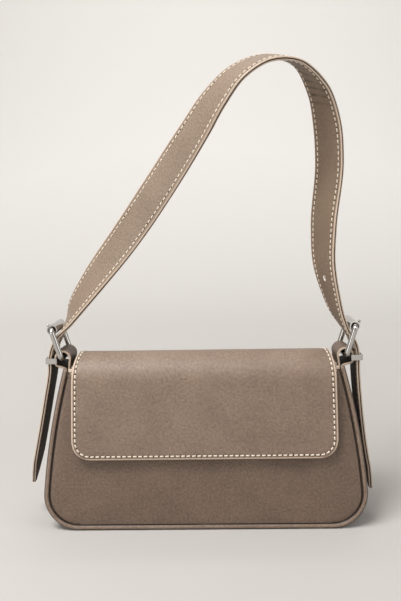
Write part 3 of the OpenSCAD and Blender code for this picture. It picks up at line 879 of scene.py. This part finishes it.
def flap_part(name, plane_w, end_v, face, nodes):
    front = face < 0
    radius, full = (FLAP_CORNER_R, FLAP_HALF_W) if front else (REAR_CORNER_R, CREST_HALF_W)
    grid, out, uv = [], [], []
    for p, n, s, to_end in flap_profile(plane_w, end_v, face):
        half = flap_half(to_end, p, front)
        row = []
        for x in across(half, 28):
            e = max(flap_edge(x, to_end, half, radius, full), 0)
            dent = 0.3 * MM * math.exp(-((e - FLAP_SEAM_IN) / (0.9 * MM)) ** 2)
            dent += 0.3 * MM * math.exp(-e / (0.4 * MM))
            dent -= 0.15 * MM * math.exp(-((e - 0.9 * MM) / (0.5 * MM)) ** 2)
            swell = lumps(x, s, 5 + face, size=0.045, height=0.35 * MM) * min(e / (15 * MM), 1)
            slack = 0.6 * MM * smooth((s - 12 * MM) / (40 * MM)) * min(e / (25 * MM), 1)
            rise = (swell + slack) * min(s / (6 * MM), 1) - dent
            row.append(Vector((x, p.y, p.z)) + n * rise)
        grid.append(row)
        out.append([n] * len(row))
        uv.append([(v.x, s * face) for v in row])
    rows, cols = len(grid), len(grid[0])
    obj = slab(name, grid, out, FLAP_T, uv, [FACE, EDGE, INNER], 0.5 * MM,
               lambda r, c: ON_RIM if c < 2 or c >= cols - 3 or r >= rows - 3 else ON_FACE)
    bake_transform(obj)
    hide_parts(*nodes)


def flap_seam(rows, front):
    """The stitch line at an even distance inside the flap's edge, from side to side."""
    radius = FLAP_CORNER_R if front else REAR_CORNER_R
    right = []
    for p, n, _, to_end in rows:
        if to_end <= radius:
            break
        half = flap_half(to_end, p, front)
        right.append((Vector((half - FLAP_SEAM_IN, p.y, p.z)) - n * 0.12 * MM, n))
    end_p, end_n, _, _ = rows[-1]
    up = (rows[-2][0] - end_p).normalized()
    full = flap_half(radius, rows[-1][0], front)
    for i in range(1, 13):
        a = math.pi / 2 * i / 12
        r = radius - FLAP_SEAM_IN
        spot = end_p + up * (radius - r * math.sin(a)) - end_n * 0.12 * MM
        right.append((Vector((full - radius + r * math.cos(a), spot.y, spot.z)), end_n))
    left = [(Vector((-p.x, p.y, p.z)), n) for p, n in reversed(right)]
    return right + left


def flap():
    front_joint = ("flap_top", "flap_front", (0, -HINGE_NEAR, CREST_Z), (0, -HINGE_FAR, CREST_Z))
    rear_joint = ("bag", "flap_top", (0, HINGE_FAR, CREST_Z), (0, HINGE_NEAR, CREST_Z))
    parts = (
        ("flap_front", FRONT_W, FLAP_V, -1, ["flap_front_face", "flap_front_lining"],
         front_joint),
        ("flap_rear", ANCHOR_W, ANCHOR_V, 1, ["flap_anchor", "flap_top_face", "flap_top_lining"],
         rear_joint),
    )
    for name, plane_w, end_v, face, nodes, joint in parts:
        flap_part(name + "_leather", plane_w, end_v, face, nodes)
        seam = flap_seam(flap_profile(plane_w, end_v, face), face < 0)
        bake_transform(sewing(name + "_stitches", [seam]))


# Strap

def strap_slope(i):
    """Change of the route's values per metre at point i."""
    r, last = STRAP_ROUTE, len(STRAP_ROUTE) - 1
    gap = [np.linalg.norm(r[k + 1][:3] - r[k][:3]) for k in range(last)]
    if i == 0:
        return (r[1] - r[0]) / gap[0]
    if i == last:
        return (r[i] - r[i - 1]) / gap[i - 1]
    ahead, behind = (r[i + 1] - r[i]) / gap[i], (r[i] - r[i - 1]) / gap[i - 1]
    return (ahead * gap[i - 1] + behind * gap[i]) / (gap[i - 1] + gap[i])


def on_route(i, t):
    """The route's values at t, from 0 to 1, between its points i and i + 1."""
    a, b = STRAP_ROUTE[i], STRAP_ROUTE[i + 1]
    gap = np.linalg.norm(b[:3] - a[:3])
    return ((2 * t ** 3 - 3 * t ** 2 + 1) * a + (t ** 3 - 2 * t ** 2 + t) * gap * strap_slope(i)
            + (3 * t ** 2 - 2 * t ** 3) * b + (t ** 3 - t ** 2) * gap * strap_slope(i + 1))


def strap_frame(i, t):
    """Place, direction, width direction, outward direction and half width."""
    here = on_route(i, t)
    p = Vector(here[:3])
    step = on_route(i, min(t + 0.02, 1)) - on_route(i, max(t - 0.02, 0))
    along = Vector(step[:3]).normalized()
    start = Vector((0, -1, 0))
    start = (start - along * start.dot(along)).normalized()
    wide = math.cos(here[3]) * start + math.sin(here[3]) * along.cross(start)
    tip = min((p - Vector(STRAP_ROUTE[k][:3])).length for k in (0, -1))
    half = STRAP_HALF_W
    if tip < TIP_L:
        half = max(3 * MM, half * (tip / TIP_L) ** 0.62)
    return p, along, wide, wide.cross(along), half


def strap_frames():
    """Frames along the whole strap, each with its walked length, closer at the pointed ends."""
    frames, walked, last = [], 0, len(STRAP_ROUTE) - 2
    for i in range(last + 1):
        gap = np.linalg.norm(STRAP_ROUTE[i + 1][:3] - STRAP_ROUTE[i][:3])
        count = math.ceil(gap / (TIP_STEP if i in (0, last) else STRAP_STEP))
        for k in range(count + (i == last)):
            f = strap_frame(i, k / count)
            if frames:
                walked += (f[0] - frames[-1][0]).length
            frames.append((*f, walked))
    return frames


def slot_ring(i, t, length, width, depth):
    """Oval across the strap at one depth."""
    p, along, wide, out, _ = strap_frame(i, t)
    ring, sides = [], 24
    for k in range(sides):
        a = 2 * math.pi * k / sides
        reach = math.copysign((length - width) / 2, math.cos(a))
        ring.append(p + along * (reach + width / 2 * math.cos(a))
                    + wide * (width / 2 * math.sin(a)) + out * depth)
    return ring


def punch(layer):
    """Cuts the strap's holes through one of its layers."""
    for hole in (*PRONG_HOLES, SPARE_HOLE):
        carve(layer, plug([slot_ring(*hole, depth) for depth in (-4 * MM, 4 * MM)]))


def strap():
    frames = strap_frames()
    total = frames[-1][5]
    fractions = [x / STRAP_HALF_W for x in banded(STRAP_HALF_W, (-5, -2, 2, 5))]
    low, high = STRAP_LAYER
    for name, node, sign, finish, slot in (
            ("strap_face_leather", "strap_face", 1, STRAP, "leather"),
            ("strap_lining_leather", "strap_lining", -1, CREASED, "leather_inner")):
        grid, out, uv = [], [], []
        for p, _, wide, normal, half, s in frames:
            free = smooth((s - 140 * MM) / (30 * MM)) * smooth((total - 140 * MM - s) / (30 * MM))
            row = []
            for f in fractions:
                e = (1 - abs(f)) * half
                h = high - 0.22 * MM * math.exp(-((e - SEAM_IN) / (0.9 * MM)) ** 2)
                h -= 0.18 * MM * math.exp(-e / (0.5 * MM))
                h += free * (0.25 * MM * smooth((e - 4 * MM) / (5 * MM))
                             + lumps(s, f * half, sign * 7, size=0.03, height=0.2 * MM))
                row.append(p + wide * (f * half) + normal * (sign * h))
            grid.append(row)
            out.append([normal * sign] * len(row))
            uv.append([(f * half, s) for f in fractions])

        def paint(r, c):
            if c < 1 or c >= len(fractions) - 2:
                return ON_RIM
            # The inner face of each hanging end takes the dark inner leather as painted shade
            in_tail = not TAIL_L < frames[r][5] < total - TAIL_L
            return PAINTED_SHADE if sign < 0 and in_tail else ON_FACE

        skins = [finish, EDGE, INNER, SHADED_INNER]
        obj = slab(name, grid, out, high - low, uv, skins, 0.35 * MM, paint)
        punch(obj)
        finished(obj, "strap", [node])
    strap_core(frames)
    # Near-white rings round the spare hole's mouth on both faces: a painted highlight
    for depth in (-STRAP_LAYER[1], STRAP_LAYER[1]):
        path = slot_ring(*SPARE_HOLE, depth)
        out = strap_frame(*SPARE_HOLE[:2])[3]
        middle = sum(path, Vector()) / len(path)
        ring = [(p, (p - middle).normalized(), out) for p in [*path, path[0]]]
        rim = tube("hole_rim", ring, 8, lambda s, angle: HOLE_RIM_R, [HOLE_HIGHLIGHT])
        finished(rim, "strap")
    strap_sewing(frames)


def strap_core(frames):
    """Dark layer between the two leathers, which shows as a line along their edges."""
    grid = [[p + wide * (f * (half + CORE_PROUD)) + n * CORE_T / 2
             for f in (-1, -0.9, -0.45, 0, 0.45, 0.9, 1)]
            for p, _, wide, n, half, _ in frames]
    out = [[n] * 7 for _, _, _, n, _, _ in frames]
    uv = [[(f * 4 * MM, s) for f in range(7)] for *_, s in frames]
    core = slab("strap_core_layer", grid, out, CORE_T, uv, [CORE] * 3, 0)
    punch(core)
    finished(core, "strap")


def strap_sewing(frames):
    """Rows along both edges of both faces; those inside the hanging ends use a dim thread as
    painted shade.
    """
    total = frames[-1][5]
    tip_in, lift = 7 * MM, STRAP_LAYER[1] - 0.2 * MM

    def row(sign, edge, low, high):
        return [(p + wide * (edge * max(half - SEAM_IN, 0)) + n * (sign * lift), n * sign)
                for p, _, wide, n, half, s in frames if low < s < high]

    runs = [row(1, edge, tip_in, total - tip_in) for edge in (1, -1)]
    runs += [row(-1, edge, TAIL_L, total - TAIL_L) for edge in (1, -1)]
    finished(sewing("strap_stitches", runs, STRAP_THREAD_R), "strap")
    runs = [row(-1, edge, *ends) for edge in (1, -1)
            for ends in ((tip_in, TAIL_L), (total - TAIL_L, total - tip_in))]
    finished(sewing("tail_stitches", runs, STRAP_THREAD_R, SHADED_THREAD), "strap")


# Hangers

def side_point(v, grow):
    """Point of the bag's right side at height v, moved outward by grow."""
    a = math.asin((v - SIDE_C[1]) / SIDE_R)
    return (SIDE_C[0] + (SIDE_R + grow) * math.cos(a), SIDE_C[1] + (SIDE_R + grow) * math.sin(a))


def hull_of(points):
    """Convex hull, anticlockwise."""
    points = sorted(set(points))

    def turn(a, b, c):
        return (b[0] - a[0]) * (c[1] - a[1]) - (b[1] - a[1]) * (c[0] - a[0])

    def half(ps):
        chain = []
        for p in ps:
            while len(chain) > 1 and turn(*chain[-2:], p) <= 0:
                chain.pop()
            chain.append(p)
        return chain[:-1]

    return half(points) + half(points[::-1])


def hanger_path():
    """Outer line of the folded strip: up the outer leaf, round the loop and down the inner one."""
    circles = [(x * MM + r * MM * math.cos(a), z * MM + r * MM * math.sin(a))
               for x, z, r in LOOP_BENDS for a in np.linspace(0, 2 * math.pi, 96, endpoint=False)]
    pinch = LOOP_BENDS[2]
    loop = [p for p in hull_of(circles) if p[1] > (pinch[1] - 0.2) * MM]
    start = min(range(len(loop)), key=lambda i: loop[i][1] + (loop[i][0] < pinch[0] * MM))
    loop = loop[start:] + loop[:start]
    foot_v = (HANGER_FOOT_Z - PIPING_R) / math.cos(LEAN)
    head_v = ((pinch[1] - 1.6) * MM - PIPING_R) / math.cos(LEAN)
    leaf = [foot_v + (head_v - foot_v) * i / 10 for i in range(11)]

    def upright(p):
        return (p[0], PIPING_R + p[1] * math.cos(LEAN))

    path = np.array([upright(side_point(v, 2 * HANGER_T)) for v in leaf] + loop
                    + [upright(side_point(v, 0.05 * MM)) for v in reversed(leaf)])
    walked = lengths_along(path)
    steps = np.linspace(0, walked[-1], 90)
    return np.stack([np.interp(steps, walked, path[:, k]) for k in (0, 1)], 1), steps


def prong_slot(side):
    """Two ends of the block that is cut out of a hanger's fold to let the prong through."""
    right = Vector((math.cos(BUCKLE_TILT), 0, -math.sin(BUCKLE_TILT)))
    up = Vector((math.sin(BUCKLE_TILT), 0, math.cos(BUCKLE_TILT)))
    centre = Vector((PRONG_SLOT_AT[0], 0, PRONG_SLOT_AT[1]))
    reach, wide, high = PRONG_SLOT_HALF
    for end in (-1, 1):
        spots = [centre + right * (end * reach) + Vector((0, wide * y, 0)) + up * (high * z)
                 for y, z in ((1, 1), (1, -1), (-1, -1), (-1, 1))]
        yield [Vector((side * p.x, p.y, p.z)) for p in spots]


def hanger(name, node, side):
    path, steps = hanger_path()
    direction = np.gradient(path, axis=0)
    direction = (direction + np.roll(direction, 1, 0) + np.roll(direction, -1, 0)) / 3
    direction[0], direction[-1] = path[1] - path[0], path[-1] - path[-2]
    ys = banded(HANGER_HALF_W, (-4, 0, 4))
    grid, out, uv = [], [], []
    for (x, z), (dx, dz), s in zip(path, direction, steps):
        n = Vector((side * dz, 0, -dx)).normalized()
        row = []
        for y in ys:
            e = HANGER_HALF_W - abs(y)
            dent = 0.15 * MM * math.exp(-e / (0.5 * MM))
            row.append(Vector((side * x, y, z)) - n * dent)
        grid.append(row)
        out.append([n] * len(ys))
        uv.append([(y, s) for y in ys])
    # The hanger's underside, inside its loop, takes the dark inner leather as painted shade
    obj = slab(name, grid, out, HANGER_T - 0.2 * MM, uv, [BODY, EDGE, SHADED_INNER], 0.2 * MM)
    carve(obj, plug(prong_slot(side)))
    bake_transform(obj)
    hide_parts(node)
    leaf = [k for k in range(len(path)) if steps[k] < HANGER_SEWN][2:]

    def spot(k, y):
        return Vector((side * path[k][0], y, path[k][1])), out[k][0]

    runs = [[spot(k, y) for k in leaf]
            for y in (-HANGER_HALF_W + SEAM_IN, HANGER_HALF_W - SEAM_IN)]
    runs.append([spot(leaf[0], y) for y in np.linspace(-9.5 * MM, 9.5 * MM, 8)])
    finished(sewing(name + "_stitches", runs), "bag")


# Metal and board, carried over from the CAD

def finish_cad_nodes():
    finishes = {
        CHROME: ["snap_socket", "snap_stud", "buckle_left", "buckle_right", "roller_left",
                 "roller_right", "prong_left", "prong_right", "keeper_left", "keeper_right"],
        STEEL: ["snap_magnet", "socket_washer", "stud_washer"],
        BOARD: ["base_board"],
    }
    for material, nodes in finishes.items():
        for node in nodes:
            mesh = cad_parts[node].data
            mesh.materials.clear()
            mesh.materials.append(material)
            mesh.shade_smooth()
            mesh.set_sharp_from_angle(angle=SHARP)


# Floor and light

def soft_light(name, place_at, aim, size, power):
    data = bpy.data.lights.new(name, "AREA")
    data.shape = "RECTANGLE"
    data.size, data.size_y = size
    data.energy = power
    light = in_scene(name, data)
    light.location = place_at
    light.rotation_euler = (Vector(aim) - Vector(place_at)).to_track_quat("-Z", "Y").to_euler()


def sweep():
    """Floor that curves up into a backdrop and grows paler away from the bag; the paler wall is
    painted brightness standing in for light on the backdrop.
    """
    start = WALL_Y - WALL_BEND_R
    profile = [(-STAGE_REACH, 0.0), (start, 0.0)]
    profile += [(start + WALL_BEND_R * math.sin(a), WALL_BEND_R - WALL_BEND_R * math.cos(a))
                for a in np.linspace(0, math.pi / 2, 24)[1:]]
    profile.append((WALL_Y, WALL_TOP))
    mesh = bpy.data.meshes.new("sweep")
    points = [(x, y, z) for y, z in profile for x in (-STAGE_REACH, STAGE_REACH)]
    mesh.from_pydata(points, [], [(2 * i, 2 * i + 1, 2 * i + 3, 2 * i + 2)
                                  for i in range(len(profile) - 1)])
    mesh.shade_smooth()
    n = Nodes("sweep")
    away = n.add("ShaderNodeVectorMath", {"operation": "LENGTH"},
                 Vector=n.add("ShaderNodeTexCoord").outputs["Object"]).outputs["Value"]
    n.set(Base_Color=n.shade(n.span(away, 0.3, 2.0, 0.0, 1.0), FLOOR_TONE, WALL_TONE),
          Roughness=0.9)
    mesh.materials.append(n.material)
    in_scene("sweep", mesh)


def sky():
    """Soft fill from all round, a little brighter above."""
    scene.world = bpy.data.worlds.new("studio")
    n = Nodes("sky", scene.world)
    rise = n.add("ShaderNodeSeparateXYZ",
                 Vector=n.add("ShaderNodeTexCoord").outputs["Generated"]).outputs[2]
    n.set(Color=n.shade(n.span(rise, -0.05, 0.9, 0.0, 1.0), SKY_LOW, SKY_HIGH))


def studio():
    sweep()
    sky()
    for light in LIGHTS:
        soft_light(*light)
    scene.view_settings.view_transform = "Standard"


panel("front_panel_leather", -1)
panel("back_panel_leather", 1)
gusset()
piping("front_piping_leather", "front_piping", -1)
piping("back_piping_leather", "back_piping", 1)
lining()
inner_pocket()
flap()
strap()
hanger("hanger_left_leather", "hanger_left", -1)
hanger("hanger_right_leather", "hanger_right", 1)
finish_cad_nodes()
studio()
